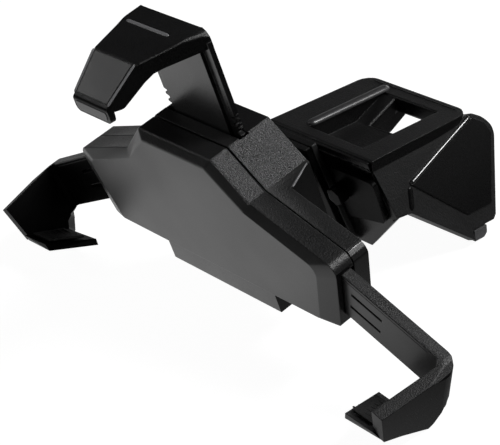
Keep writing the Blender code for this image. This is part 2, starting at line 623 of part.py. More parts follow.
def arm_strip(side, name):
    """The bent strip seen from above its length: back plate, rounded corner and side wall."""
    reach = (ARM_BACK_Y - ARM_WALL_FRONT_Y) * ARM_TOE_IN
    front_u = ARM_OUTER_U - ARM_WALL_THICK - reach + ARM_WALL_FRONT_THICK
    corners = rounded([(TAIL_END_U - 1, ARM_FRONT_Y, 0),
                       (ARM_OUTER_U - ARM_WALL_THICK, ARM_FRONT_Y, 1.6),
                       (front_u - ARM_WALL_FRONT_THICK, ARM_WALL_FRONT_Y - 1, 0),
                       (front_u, ARM_WALL_FRONT_Y - 1, 0),
                       (ARM_OUTER_U, ARM_BACK_Y, 4.0), (TAIL_END_U - 1, ARM_BACK_Y, 0)])
    low, high = min(p for _, p in ARM_LOW_OUTSIDE) - 3, ARM_HIGH_P + 3
    ob = plate(name, [[(side * u, y) for u, y in corners]], low, high, "Z", ARM_FRAMES[side])
    for vert in ob.data.vertices:
        if side * vert.co.x > 60 * MM:
            vert.co.x += side * (ARM_HIGH_P * MM - vert.co.z) * ARM_FLARE
    return ob


def shelf_corner(side, lift, shrink):
    """Corners of the lower shelf in the cradle's frame: tip or wall, front or back, low or high."""
    top = {(-1, -1): (63.0, -15.0, -5.9), (1, -1): (72.9, -15.7, -6.0),
           (-1, 1): (59.0, -2.3, -11.7), (1, 1): (72.4, -3.3, -12.4)}
    low = {(-1, -1): (62.1, -15.0, -8.0), (1, -1): (74.0, -14.6, -9.2),
           (-1, 1): (58.8, -2.3, -13.9), (1, 1): (72.8, -2.4, -15.0)}
    centre = Vector((65.6, -9.2, -9.0))

    def corner(sx, sy, sz):
        if not lift:
            x, y, z = (low if sz < 0 else top)[(sx, sy)]
        else:
            point = centre + (Vector(top[(sx, sy)]) - centre) * shrink
            x, y, z = point + Vector((0, 0, lift[0] if sz < 0 else lift[1]))
        return side * x, y, z
    return corner


def arm_sides(side):
    """Tools above and below the line of the side wall, as seen along the plate."""
    slope = (ARM_HIGH_P - ARM_WALL_TOP_P) / (ARM_WALL_REAR_Y - ARM_WALL_FRONT_Y)
    ahead = ARM_WALL_FRONT_Y - 14
    above = [(ahead, ARM_WALL_TOP_P - 14 * slope), (ARM_WALL_REAR_Y, ARM_HIGH_P),
             (ARM_WALL_REAR_Y, 2 * ARM_HIGH_P), (ahead, 2 * ARM_HIGH_P)]
    first_y, first_p = ARM_LOW_INSIDE[0]
    lean = (first_y - ARM_WALL_FRONT_Y) / (ARM_WALL_TOP_P - first_p)
    ends = (ARM_NECK_U - 0.5, ARM_OUTER_U - ARM_WALL_THICK - 1, ARM_OUTER_U, ARM_OUTER_U + 9)
    rings = []
    above_p = 2 * ARM_HIGH_P
    for u, line in zip(ends, (ARM_LOW_INSIDE, ARM_LOW_INSIDE, ARM_LOW_OUTSIDE, ARM_LOW_OUTSIDE)):
        ring = [(ahead, -9), (ahead, above_p), (first_y - lean * (above_p - first_p), above_p)]
        ring += list(line) + [(ARM_BACK_Y + 6, ARM_LOW_P), (ARM_BACK_Y + 6, -9)]
        rings.append([(side * u, y, p) for y, p in ring])
    low, high = sorted((side * ends[0], side * ends[-1]))
    return [plate("arm_above_%d" % side, [above], low, high, "X", ARM_FRAMES[side], cutter=True),
            loft("arm_below_%d" % side, rings, ARM_FRAMES[side], cutter=True)]


def arm(side, name):
    ob = arm_strip(side, name)
    face = plate("arm_face_%d" % side, [[(side * u, p) for u, p in arm_outline()]],
                 ARM_WALL_FRONT_Y - 3, ARM_BACK_Y + 1, "Y", ARM_FRAMES[side], cutter=True)
    combine(ob, [face], "INTERSECT")
    combine(ob, arm_sides(side))
    shelf = wedge("shelf_%d" % side, shelf_corner(side, None, 1.0), CRADLE, cutter=True)
    combine(ob, [shelf], "UNION")
    slots = []
    for p in FINGER_SLOTS:
        low, high = sorted((side * FINGER_SLOT_IN, side * FINGER_SLOT_OUT))
        slots.append(block("finger_slot_%d_%d" % (side, p), (low, ARM_FRONT_Y - 1, p - FINGER_SLOT_WIDE / 2),
                           (high, ARM_BACK_Y + 1, p + FINGER_SLOT_WIDE / 2), ARM_FRAMES[side], cutter=True))
    combine(ob, slots)
    return paint(ob, BLACK)


def shelf_pad(side, name):
    return paint(wedge(name, shelf_corner(side, (0.35, 1.25), 0.72), CRADLE), RUBBER)


def spring(side, name):
    """A coil between the shell's floor and the slider's lug."""
    bottom, top = REAR_WALL + GAP + SPRING_WIRE, SPRING_TOP_Z - GAP - SPRING_WIRE
    curve = bpy.data.curves.new(name, "CURVE")
    curve.dimensions = "3D"
    curve.bevel_depth, curve.bevel_resolution = SPRING_WIRE * MM, 1
    curve.use_fill_caps = True
    steps = 12 * SPRING_TURNS
    spline = curve.splines.new("POLY")
    spline.points.add(steps)
    for k, point in enumerate(spline.points):
        turn = 2 * math.pi * k / 12
        point.co = (SPRING_R * math.cos(turn) * MM, SPRING_R * math.sin(turn) * MM,
                    (bottom + (top - bottom) * k / steps) * MM, 1)
    ob = bpy.data.objects.new(name, curve)
    PARTS.objects.link(ob)
    bm = evaluated(ob)
    bm.transform(Matrix.Translation(Vector((side * SPRING_X, SPRING_Y, 0))))
    return paint(finish(name, bm, CRADLE, (side * SPRING_X, SPRING_Y, bottom)), SPRING_STEEL)


# Ball joint
BALL = (0.0, BALL_Y, BALL_Z)
LINER_IN = BALL_R + GAP
LINER_OUT = LINER_IN + LINER_THICK
CAVITY_R = LINER_OUT + GAP


def ball_arc(radius, start, end, steps):
    """Points at a radius from polar angle start to end, counted from the +Y axis."""
    angles = [math.radians(start + (end - start) * k / steps) for k in range(steps + 1)]
    return [(radius * math.sin(a), radius * math.cos(a)) for a in angles]


def on_axis(points):
    return [(0.0 if abs(r) < 1e-6 else r, t) for r, t in points]


def ball_stud():
    end = BLOCK_FRONT_Y - GAP - BALL_Y
    neck = math.degrees(math.asin(NECK_R / BALL_R))
    profile = [(0, end), (STUD_BASE_R, end), (STUD_BASE_R, end - STUD_BASE_THICK),
               (NECK_R, end - STUD_BASE_THICK)]
    profile += ball_arc(BALL_R, neck, 180, 12)
    return paint(turned("ball_stud", on_axis(profile), BALL, CRADLE, 24), STEEL)


def socket_liner():
    profile = ball_arc(LINER_OUT, 62, 112, 5) + ball_arc(LINER_IN, 112, 62, 5)
    return paint(turned("socket_liner", profile, BALL, CRADLE, 24, closed=True), RUBBER)


def pressure_cup():
    profile = ball_arc(LINER_OUT, 132, 180, 5) + ball_arc(LINER_IN, 180, 132, 5)
    return paint(turned("pressure_cup", on_axis(profile), BALL, CRADLE, 24, closed=True), ACETAL)


def socket_cup():
    front = -CAVITY_R - 1.2
    flange = BOX_BACK_Y + GAP - BALL_Y
    mouth = ball_arc(CAVITY_R + 0.05, 60, 180, 12)
    back = mouth[0][1]
    profile = [(0, front), (CUP_OUTER_R, front), (CUP_OUTER_R, flange), (CUP_FLANGE_R, flange),
               (CUP_FLANGE_R, flange + CUP_FLANGE_THICK), (CUP_OUTER_R, flange + CUP_FLANGE_THICK),
               (CUP_OUTER_R, back)]
    return paint(turned("socket_cup", profile + on_axis(mouth), BALL, CRADLE, 24), DARK)


def collar_nut():
    start = BOX_BACK_Y + CUP_FLANGE_THICK + 2 * GAP - BALL_Y
    end = COLLAR_BACK_Y - BALL_Y
    lip = end - 1.0
    cup_end = (CAVITY_R + 0.05) * math.cos(math.radians(60)) + GAP
    profile = [(CUP_OUTER_R + GAP, start), (COLLAR_R, start), (COLLAR_R, end - 1.8), (COLLAR_END_R, end),
               (COLLAR_MOUTH_R, end), (COLLAR_MOUTH_R, lip), (LINER_OUT + GAP, lip),
               (LINER_OUT + GAP, cup_end), (CUP_OUTER_R + GAP, cup_end)]
    return paint(turned("collar_nut", profile, BALL, CRADLE, 24, closed=True), DARK)


# Mount block, lever and bracket
def block_outline(grow=0.0):
    return [(-BLOCK_TOP_HALF, BLOCK_TOP_Z), (BLOCK_TOP_HALF, BLOCK_TOP_Z),
            (BLOCK_LOW_HALF + grow, BLOCK_LOW_Z), (-BLOCK_LOW_HALF - grow, BLOCK_LOW_Z)]


SEAT_FRONT_Y = BLOCK_FRONT_Y + BLOCK_THICK + GAP
SEAT_BACK_Y = SEAT_FRONT_Y + SEAT_THICK


def mount_block():
    ob = plate("mount_block", [block_outline()], BLOCK_FRONT_Y, BLOCK_FRONT_Y + BLOCK_THICK, "Y", CRADLE)
    return paint(ob, BLACK)


def block_seat():
    ob = plate("block_seat", [block_outline()], SEAT_FRONT_Y, SEAT_BACK_Y, "Y", CRADLE)
    return paint(ob, BLACK)


LEVER_BACK_Y = BRACKET_Y - GAP


def lever_plate():
    outline = rounded([(LEVER_LEFT, LEVER_TOP_Z, 0.6), (LEVER_RIGHT, LEVER_TOP_Z, 1.6),
                       (LEVER_RIGHT, LEVER_LOW_RIGHT_Z, 1.6), (LEVER_LEFT + 0.8, LEVER_LOW_LEFT_Z, 0.8)])
    ob = plate("lever_plate", [outline], LEVER_BACK_Y - LEVER_THICK, LEVER_BACK_Y, "Y", CRADLE,
               (NUT_X, LEVER_BACK_Y - LEVER_THICK / 2, NUT_Z))
    return paint(ob, BLACK)


def lever_nut():
    back = LEVER_BACK_Y - LEVER_THICK - GAP
    corner = NUT_ACROSS / math.sqrt(3)
    ob = plate("lever_nut", [circle(NUT_X, NUT_Z, corner, 6, math.pi / 2)], back - NUT_THICK, back, "Y",
               CRADLE, (NUT_X, back, NUT_Z))
    return paint(ob, STEEL)


def leg(side):
    """One flared side wall in side view: y and the distance down its slope."""
    corners = LEG_LINE
    low, high = sorted((0.0, -side * LEG_THICK))
    return plate("leg_%d" % side, [corners], low, high, "X", LEG_FRAMES[side], cutter=True)


def bracket():
    deck = rounded([(-DECK_FRONT_HALF, 0.7, 0), (DECK_FRONT_HALF, 0.7, 0),
                    (DECK_BACK_HALF, DECK_LONG, 4.0), (-DECK_BACK_HALF, DECK_LONG, 4.0)])
    ob = plate("base_bracket", [deck], -DECK_THICK, 0, "Z", BRACKET)
    under = -RECESS_DEPTH - TUB_WALL
    tub_line = [(RECESS_FRONT - TUB_WALL, -DECK_THICK / 2), (RECESS_FRONT - TUB_WALL, -DECK_THICK),
                (RECESS_FOOT - TUB_WALL / 2, under), (RAMP_FOOT + 0.5, under),
                (RECESS_BACK + TUB_WALL, -WINDOW_BACK_DROP), (RECESS_BACK + TUB_WALL, -DECK_THICK / 2)]
    tub = plate("tub", [tub_line], RECESS_LEFT - TUB_WALL, RECESS_RIGHT + TUB_WALL, "X", BRACKET, cutter=True)
    rib = plate("rib", [RIB_LINE], WINDOW_LEFT - RIB_THICK, WINDOW_LEFT, "X", BRACKET, cutter=True)
    x = BRACKET_X
    face = plate("bracket_front", [[(x - DECK_FRONT_HALF + 1, BRACKET_Z - 0.75),
                                    (x + DECK_FRONT_HALF - 1, BRACKET_Z - 0.75),
                                    (x + FRONT_SIDE_HALF, FRONT_SIDE_Z), (x + FRONT_LOW_HALF, FRONT_LOW_Z),
                                    (x - FRONT_LOW_HALF, FRONT_LOW_Z), (x - FRONT_SIDE_HALF, FRONT_SIDE_Z)]],
                 BRACKET_Y, BRACKET_Y + FRONT_THICK, "Y", CRADLE, cutter=True)
    toe = block("toe", (-TOE_HALF, TOE_FRONT, SOLE_Z + PAD_THICK + GAP),
                (TOE_HALF, TOE_BACK, SOLE_Z + PAD_THICK + GAP + TOE_THICK), BRACKET, cutter=True)
    rear = block("rear_wall", (-DECK_BACK_HALF + 4, DECK_LONG - 2.4, -REAR_DROP),
                 (DECK_BACK_HALF - 4, DECK_LONG - 0.4, -DECK_THICK / 2), BRACKET, cutter=True)
    combine(ob, [leg(RIGHT), leg(LEFT), face, tub, rib, toe, rear], "UNION")
    recess_line = [(RECESS_FRONT, 2), (RECESS_FRONT, -RECESS_LIP), (RECESS_FOOT, -RECESS_DEPTH),
                   (RAMP_FOOT, -RECESS_DEPTH), (RECESS_BACK, -RECESS_LIP), (RECESS_BACK, 2)]
    recess = plate("recess", [recess_line], RECESS_LEFT, RECESS_RIGHT, "X", BRACKET, cutter=True)
    window = block("window", (WINDOW_LEFT + 0.02, WINDOW_FRONT, -RECESS_DEPTH - 9),
                   (WINDOW_RIGHT, RECESS_BACK - 0.02, 1), BRACKET, cutter=True)
    under_feet = block("under_feet", (-40, FOOT_FRONT - GAP, SOLE_Z - 9),
                       (40, 60, SOLE_Z + FOOT_HEIGHT + GAP), BRACKET, cutter=True)
    combine(ob, [recess, window, under_feet])
    return paint(ob, BLACK)


def foot_pad(side, name):
    low, high = sorted((side * FOOT_INNER, side * FOOT_OUTER))
    outline = rounded([(FOOT_FRONT, SOLE_Z, 0), (FOOT_BACK, SOLE_Z, 1.6),
                       (FOOT_BACK, SOLE_Z + FOOT_HEIGHT, 0), (FOOT_FRONT, SOLE_Z + FOOT_HEIGHT, 0)], 3)
    return paint(plate(name, [outline], low, high, "X", BRACKET), CLEAR_RUBBER)


def front_pad():
    return paint(block("front_pad", (-TOE_HALF + 0.4, FRONT_PAD_FRONT, SOLE_Z),
                       (TOE_HALF - 0.4, FRONT_PAD_BACK, SOLE_Z + PAD_THICK), BRACKET), CLEAR_RUBBER)


front_shell()
rear_shell()
for number, (screw_x, screw_z) in enumerate(SCREW_PLACES):
    seat = WING_BACK_Y - SCREW_HEAD_THICK
    screw("case_screw_%d" % (number + 1), (screw_x, seat, screw_z), seat - WALL - 2.0, CRADLE)
hook_arm()
hook_pad()
for hand, word in ((RIGHT, "right"), (LEFT, "left")):
    arm(hand, word + "_arm")
    shelf_pad(hand, word + "_shelf_pad")
    pinion(hand, word + "_pinion")
    pinion_pin(hand, word + "_pinion_pin")
    spring(hand, word + "_spring")
    foot_pad(hand, word + "_foot_pad")
socket_cup()
socket_liner()
pressure_cup()
collar_nut()
ball_stud()
mount_block()
block_seat()
lever_plate()
lever_nut()
bracket()
front_pad()
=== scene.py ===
"""Visual model of the dashboard phone holder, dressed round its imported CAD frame."""
import json
import math

import bmesh
import bpy
from mathutils import Matrix, Vector


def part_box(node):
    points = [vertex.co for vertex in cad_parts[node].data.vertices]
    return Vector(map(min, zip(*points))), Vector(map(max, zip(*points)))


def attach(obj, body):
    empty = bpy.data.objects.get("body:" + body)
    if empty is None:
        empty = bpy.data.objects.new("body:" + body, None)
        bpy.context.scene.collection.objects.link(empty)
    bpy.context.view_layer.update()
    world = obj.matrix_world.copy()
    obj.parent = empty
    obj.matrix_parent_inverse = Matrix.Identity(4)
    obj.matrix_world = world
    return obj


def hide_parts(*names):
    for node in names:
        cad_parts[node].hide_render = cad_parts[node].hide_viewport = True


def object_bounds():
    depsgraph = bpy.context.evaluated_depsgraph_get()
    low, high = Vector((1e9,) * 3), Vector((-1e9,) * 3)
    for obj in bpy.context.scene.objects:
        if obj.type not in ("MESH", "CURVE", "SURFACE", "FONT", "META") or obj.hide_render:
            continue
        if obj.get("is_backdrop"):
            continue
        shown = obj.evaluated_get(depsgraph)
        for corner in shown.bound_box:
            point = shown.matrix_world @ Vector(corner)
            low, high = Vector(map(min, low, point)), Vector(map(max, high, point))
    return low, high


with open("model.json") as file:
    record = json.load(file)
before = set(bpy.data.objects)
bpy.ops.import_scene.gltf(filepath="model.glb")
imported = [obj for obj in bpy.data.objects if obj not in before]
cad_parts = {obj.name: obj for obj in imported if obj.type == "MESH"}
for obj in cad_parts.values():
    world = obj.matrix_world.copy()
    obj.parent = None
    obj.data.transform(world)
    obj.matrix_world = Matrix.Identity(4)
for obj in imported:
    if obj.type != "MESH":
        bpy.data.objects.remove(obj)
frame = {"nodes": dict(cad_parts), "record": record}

MM = 0.001
CAD_LOW, CAD_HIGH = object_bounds()
NODES = frame["nodes"]
BODY_OF = {n: b for b, ns in frame["record"]["behaviour"]["bodies"].items() for n in ns}
SIDES = ((1, "right"), (-1, "left"))

# The cradle's frame, in mm: x = 0 its middle, y = 0 its front face, z = 0 the body's underside
TAB_DROP = 6.1
shell_low, shell_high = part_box("front_shell")
CRADLE = Vector(((shell_low.x + shell_high.x) / 2, shell_low.y, shell_low.z + TAB_DROP * MM))

# The bracket's frame in the cradle's, and the slopes of the arms and the legs
BRACKET_AT = Vector((7.8, 35.3, 18.9))
BRACKET_PITCH = math.radians(12.5)
ARM_SLOPE = math.radians(25.5)
LEG_FLARE, LEG_HALF = math.radians(20), 18.5

# Hook: the edge where its front facet starts, the facet's foot, and its lip
HOOK_EDGE_Y, HOOK_EDGE_Z = -3.9, 68.7
HOOK_TIP_Y, HOOK_TIP_Z = -14.9, 62.0
HOOK_LIP_Z = 57.8
HOOK_LINE_ROOM = 0.3

# Edges that turn more than this are rounded, and faces that turn less are shaded as one
ROUND_FROM, PANEL_ROUND_FROM, SMOOTH_BELOW = 14, 28, 21


def cradle(x, y, z):
    return CRADLE + Vector((x, y, z)) * MM


def bracket(x, y, z):
    c, s = math.cos(BRACKET_PITCH), math.sin(BRACKET_PITCH)
    return cradle(BRACKET_AT.x + x, BRACKET_AT.y + y * c + z * s, BRACKET_AT.z - y * s + z * c)


def arm_point(side):
    """Distances along the arm's slide, back, and across the slide."""
    def place(u, y, p):
        c, s = math.cos(ARM_SLOPE), math.sin(ARM_SLOPE)
        return cradle(side * (u * c + p * s), y, -u * s + p * c)
    return place


def leg_point(side):
    """Distances along the leg, down its slope, and inwards from its outer face."""
    def place(y, down, inwards=0.0):
        c, s = math.cos(LEG_FLARE), math.sin(LEG_FLARE)
        return bracket(side * (LEG_HALF + down * s - inwards * c), y, -down * c - inwards * s)
    return place


# Materials

def new_material(name):
    mat = bpy.data.materials.new(name)
    mat.use_nodes = True
    tree = mat.node_tree
    return mat, tree, tree.nodes["Principled BSDF"]


def add(tree, kind, **values):
    node = tree.nodes.new(kind)
    for key, value in values.items():
        setattr(node, key, value)
    return node


def feed(tree, node, *values):
    """Set a node's first inputs, each from a socket or to a value."""
    for socket, value in zip(node.inputs, values):
        if isinstance(value, bpy.types.NodeSocket):
            tree.links.new(value, socket)
        else:
            socket.default_value = value
    return node


def math_of(tree, operation, *values):
    return feed(tree, add(tree, "ShaderNodeMath", operation=operation), *values).outputs[0]


def vector_math_of(tree, operation, *values):
    return feed(tree, add(tree, "ShaderNodeVectorMath", operation=operation), *values).outputs["Value"]


def noise(tree, coords, scale, detail=2.0, rough=0.5):
    node = add(tree, "ShaderNodeTexNoise")
    node.inputs["Scale"].default_value = scale
    node.inputs["Detail"].default_value = detail
    node.inputs["Roughness"].default_value = rough
    tree.links.new(coords, node.inputs["Vector"])
    return node.outputs["Fac"]


def ramp(tree, value, low, high, at=(0.35, 0.65)):
    node = add(tree, "ShaderNodeMapRange")
    node.inputs["From Min"].default_value, node.inputs["From Max"].default_value = at
    node.inputs["To Min"].default_value, node.inputs["To Max"].default_value = low, high
    tree.links.new(value, node.inputs["Value"])
    return node.outputs["Result"]


def coloured(tree, value, dark, light, at=(0.3, 0.7)):
    node = add(tree, "ShaderNodeValToRGB")
    node.color_ramp.elements[0].position, node.color_ramp.elements[1].position = at
    node.color_ramp.elements[0].color = (*dark, 1)
    node.color_ramp.elements[1].color = (*light, 1)
    tree.links.new(value, node.inputs["Fac"])
    return node.outputs["Color"]


def bumped(tree, height, strength, distance):
    node = add(tree, "ShaderNodeBump")
    node.inputs["Strength"].default_value = strength
    node.inputs["Distance"].default_value = distance
    tree.links.new(height, node.inputs["Height"])
    return node


def plastic(name, level, rough, grain, bump, speckle=0.0, tint=1.03, ior=1.5, round_mm=0.4,
            depth=0.00008):
    """Moulded plastic: mottled colour, a grained surface and uneven gloss; the light flecks are real speckle,
    and on the steep facets partly painted glints.
    """
    mat, tree, bsdf = new_material(name)
    coords = add(tree, "ShaderNodeTexCoord").outputs["Object"]
    broad = noise(tree, coords, 60, 3)
    fine = noise(tree, coords, grain, 2, 0.6)
    mixed = math_of(tree, "MULTIPLY_ADD", broad, 0.35, math_of(tree, "MULTIPLY", fine, 0.65))
    dark, light = level * 0.82, level * 1.22 + speckle
    tree.links.new(coloured(tree, mixed, (dark, dark, dark * tint), (light, light, light * tint)),
                   bsdf.inputs["Base Color"])
    tree.links.new(ramp(tree, mixed, rough * 0.85, rough * 1.2), bsdf.inputs["Roughness"])
    height = bumped(tree, fine, bump, depth)
    edge = add(tree, "ShaderNodeBevel", samples=4)
    edge.inputs["Radius"].default_value = round_mm * MM
    tree.links.new(edge.outputs["Normal"], height.inputs["Normal"])
    tree.links.new(height.outputs["Normal"], bsdf.inputs["Normal"])
    bsdf.inputs["IOR"].default_value = ior
    return mat


def metal(name, colour, rough):
    """Plated or drawn metal with fine lines along one direction."""
    mat, tree, bsdf = new_material(name)
    mapping = add(tree, "ShaderNodeMapping")
    mapping.inputs["Scale"].default_value = (1, 1, 14)
    tree.links.new(add(tree, "ShaderNodeTexCoord").outputs["Object"], mapping.inputs["Vector"])
    lines = noise(tree, mapping.outputs["Vector"], 900, 3)
    dark = tuple(c * 0.8 for c in colour)
    light = tuple(min(1, c * 1.12) for c in colour)
    tree.links.new(coloured(tree, lines, dark, light), bsdf.inputs["Base Color"])
    tree.links.new(ramp(tree, lines, rough * 0.8, rough * 1.3), bsdf.inputs["Roughness"])
    bsdf.inputs["Metallic"].default_value = 1.0
    tree.links.new(bumped(tree, lines, 0.15, 0.00003).outputs["Normal"], bsdf.inputs["Normal"])
    return mat


FACE = plastic("satin_face", 0.008, 0.33, 3800, 0.08, ior=1.52)
TOP = plastic("grained_top", 0.004, 0.42, 2400, 0.8, 0.004, depth=0.00012)
# The steep facets' light grey flecks: real grain, partly painted glints where light catches it
SPECKLED = plastic("speckled_facet_painted_glints", 0.012, 0.30, 2600, 1.0, 0.05, ior=1.7, depth=0.00045)
RIM = plastic("arm_rim", 0.007, 0.40, 3400, 0.8, 0.01, ior=1.45, depth=0.00012)
# A darker copy of the satin face plastic: painted shade on sides, on the bracket's fronts and on small ribs
# and ridges
SMOOTH = plastic("smooth_black_painted_shade", 0.003, 0.30, 3800, 0.06, ior=1.30)
# A darker, barely reflective copy of the black plastic: painted shade on the left arm, the mount block and
# the lever
SHADE_BLACK = plastic("painted_shade_black", 0.002, 0.38, 3000, 0.2, ior=1.10)
DULL = plastic("dull_black", 0.006, 0.55, 3000, 0.30)
# A pale grey for thin ridges and ribs: a painted highlight along them
EDGE = plastic("painted_highlight_edge", 0.16, 0.30, 4200, 0.05, ior=1.6, round_mm=0.1)
GLOSS = plastic("worn_ridge", 0.010, 0.22, 5200, 0.02, ior=1.75, round_mm=0.1)
# A lighter grey for the recess's raised edge: a painted highlight along it
SOFT = plastic("painted_highlight_ridge", 0.03, 0.34, 4200, 0.05, ior=1.8, round_mm=0.1)
RUBBER = plastic("pad_rubber", 0.008, 0.62, 2400, 0.6, 0.004, tint=1.0, ior=1.35)
SLIDER = plastic("slider_face", 0.016, 0.30, 3800, 0.06, ior=1.55)
ACETAL = plastic("white_acetal", 0.62, 0.40, 1500, 0.15, tint=0.97)
CLEAR = plastic("pale_rubber", 0.05, 0.40, 1400, 0.3, 0.02, ior=1.42)
STEEL = metal("zinc_steel", (0.52, 0.52, 0.54), 0.34)
WIRE = metal("spring_steel", (0.5, 0.5, 0.5), 0.28)


# Mesh building

def link(name, bm, materials, smooth_angle=SMOOTH_BELOW):
    """An object from a bmesh in the row's frame."""
    mesh = bpy.data.meshes.new(name)
    bm.to_mesh(mesh)
    bm.free()
    ob = bpy.data.objects.new(name, mesh)
    bpy.context.scene.collection.objects.link(ob)
    for mat in materials:
        mesh.materials.append(mat)
    mesh.shade_smooth()
    mesh.set_sharp_from_angle(angle=math.radians(smooth_angle))
    return ob


def ride(ob, node, replace=True):
    """Move a piece with the body of a CAD node, and hide the node when the piece replaces it."""
    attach(ob, BODY_OF[node])
    if replace:
        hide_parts(node)
    return ob


def cad_copy(node):
    """A clean bmesh of a CAD node: welded, with its flat faces whole again."""
    bm = bmesh.new()
    bm.from_mesh(NODES[node].data)
    bmesh.ops.remove_doubles(bm, verts=bm.verts, dist=0.02 * MM)
    bmesh.ops.dissolve_limit(bm, angle_limit=math.radians(1.0), verts=bm.verts, edges=bm.edges)
    bmesh.ops.recalc_face_normals(bm, faces=bm.faces)
    return bm


def bevel_edges(bm, edges, width, segments):
    if edges:
        bmesh.ops.bevel(bm, geom=edges, offset=width, segments=segments, profile=0.5, affect="EDGES",
                        clamp_overlap=True, material=-1)


def round_edges(bm, width, segments, angle):
    """Round the sharp edges that have room for it; the shader's edge rounding does the rest."""
    short = {v for v in bm.verts if any(e.calc_length() < 2.2 * width for e in v.link_edges)}
    picked = [e for e in bm.edges if len(e.link_faces) == 2 and e.calc_face_angle_signed(0) > angle
              and e.calc_length() > 3 * width and not any(v in short for v in e.verts)]
    bevel_edges(bm, picked, width, segments)


def dressed(node, materials, choose=None, width=0.3, segments=3, angle=ROUND_FROM, change=None):
    """A CAD node's shape with rounded edges and a material chosen face by face."""
    bm = cad_copy(node)
    if change:
        change(bm)
    if choose:
        for face in bm.faces:
            face.material_index = choose(face.normal, face.calc_center_median())
    round_edges(bm, width * MM, segments, math.radians(angle))
    ob = link(node + "_body", bm, materials)
    ob.modifiers.new("normals", "WEIGHTED_NORMAL").keep_sharp = True
    return ride(ob, node)


def panel(name, node, points, offset, mat, width=0.12):
    """A low raised panel on a CAD part: a polygon moved by an offset, its edges rounded."""
    bm = bmesh.new()
    near = [bm.verts.new(p) for p in points]
    far = [bm.verts.new(p + offset) for p in points]
    bm.faces.new(near)
    bm.faces.new(list(reversed(far)))
    for i in range(len(points)):
        j = (i + 1) % len(points)
        bm.faces.new((near[i], far[i], far[j], near[j]))
    bmesh.ops.recalc_face_normals(bm, faces=bm.faces)
    ob = link(name, bm, [mat])
    bevel = ob.modifiers.new("edges", "BEVEL")
    bevel.width = width * MM
    bevel.segments = 3
    bevel.limit_method = "ANGLE"
    bevel.angle_limit = math.radians(PANEL_ROUND_FROM)
    bevel.use_clamp_overlap = True
    bevel.harden_normals = False
    bevel.miter_outer = "MITER_ARC"
    ob.modifiers.new("normals", "WEIGHTED_NORMAL").keep_sharp = False
    return ride(ob, node, replace=False)


END_RINGS, MIDDLE_RINGS, BEAD_SUNK = 6, 10, 0.15


def ridge(name, node, start, end, out, width, height, mat, taper=1.0):
    """A half-round bead between two points, with rounded ends and its foot in the surface."""
    out = out.normalized()
    along, total = (end - start).normalized(), (end - start).length
    side = along.cross(out).normalized()
    share = min(0.45, taper * MM / total)
    ends = [share * (1 - math.cos(math.pi / 2 * k / END_RINGS)) for k in range(END_RINGS + 1)]
    inner = [share + (1 - 2 * share) * k / MIDDLE_RINGS for k in range(1, MIDDLE_RINGS)]
    bm = bmesh.new()
    rings = []
    for part in ends + inner + [1 - e for e in reversed(ends)]:
        s = total * part
        centre = start + along * s
        near_end = min(1.0, min(s, total - s) / (taper * MM))
        swell = max(0.06, math.sqrt(1 - (1 - near_end) ** 2))
        half = side * width / 2 * MM * swell
        ring = []
        for a in range(9):
            turn = math.pi * a / 8
            ring.append(bm.verts.new(centre + half * math.cos(turn)
                                     + out * (math.sin(turn) * height * swell - 0.01) * MM))
        ring.append(bm.verts.new(centre - half - out * BEAD_SUNK * MM))
        ring.append(bm.verts.new(centre + half - out * BEAD_SUNK * MM))
        rings.append(ring)
    for lower, upper in zip(rings, rings[1:]):
        for i in range(len(lower)):
            j = (i + 1) % len(lower)
            bm.faces.new((lower[i], lower[j], upper[j], upper[i]))
    bm.faces.new(rings[0])
    bm.faces.new(list(reversed(rings[-1])))
    bmesh.ops.recalc_face_normals(bm, faces=bm.faces)
    return ride(link(name, bm, [mat], 50), node, replace=False)


# Which of a part's materials each face takes, by where the face looks and lies

def by_side(normal, centre):
    """0 for front faces, 1 for tops and 2 for the rest."""
    if normal.y < -0.85:
        return 0
    return 1 if normal.z > 0.2 else 2


def shell_faces(normal, centre):
    """As by_side, with 3 for the steep facets beside the slider and 4 for the tops of the ends."""
    out = abs(centre.x - CRADLE.x)
    if out < 30 * MM and abs(normal.x) > 0.55 and normal.z > 0.5 and abs(normal.y) < 0.2:
        return 3
    if out > 47 * MM and abs(normal.x) > 0.4 and normal.z > 0.25 and abs(normal.y) < 0.3:
        return 4
    return by_side(normal, centre)


def hook_faces(normal, centre):
    """The fronts ahead of the cradle's face, on the hook's lip, are dark like the sides."""
    if normal.y < -0.85 and centre.y < CRADLE.y:
        return 2
    return by_side(normal, centre)


def shape_hook(bm):
    """Leave room above the hook for the raised line on it, and round the lower corners of its lip."""
    top = max(v.co.z for v in bm.verts)
    for vert in bm.verts:
        if vert.co.z > top - 0.05 * MM:
            vert.co.z -= HOOK_LINE_ROOM * MM
    low = cradle(0, 0, HOOK_LIP_Z)

    def at_corner(vert):
        return (vert.co.z < low.z + 0.1 * MM and abs(vert.co.x - low.x) > 6.9 * MM
                and vert.co.y < CRADLE.y - 13 * MM)

    corners = []
    for edge in bm.edges:
        a, b = (v.co for v in edge.verts)
        length = (a - b).length
        if all(at_corner(v) for v in edge.verts) and length > 0.8 * MM and abs(a.y - b.y) > 0.7 * length:
            corners.append(edge)
    bevel_edges(bm, corners, 1.5 * MM, 5)


# Corners of a leg's outline: along it, down it, and how far the rounding reaches
LEG_CORNERS = ((35.6, 0.8, 2.2), (39.8, 3.6, 2.4), (41.3, 7.4, 2.2))


def round_leg_corners(bm):
    """Round the upper rear corners of both legs."""
    for y, down, size in LEG_CORNERS:
        picked = []
        for side, word in SIDES:
            leg = leg_point(side)
            outer, inner = leg(y, down), leg(y, down, 3.0)
            across = (inner - outer).normalized()

            def on_corner(vert):
                reach = (vert.co - outer).dot(across)
                return (((vert.co - outer) - across * reach).length < 0.08 * MM
                        and -0.1 * MM < reach < 3.2 * MM)

            picked += [e for e in bm.edges
                       if e.calc_length() >= 1.5 * MM and all(on_corner(v) for v in e.verts)]
        bevel_edges(bm, picked, size * MM, 5)
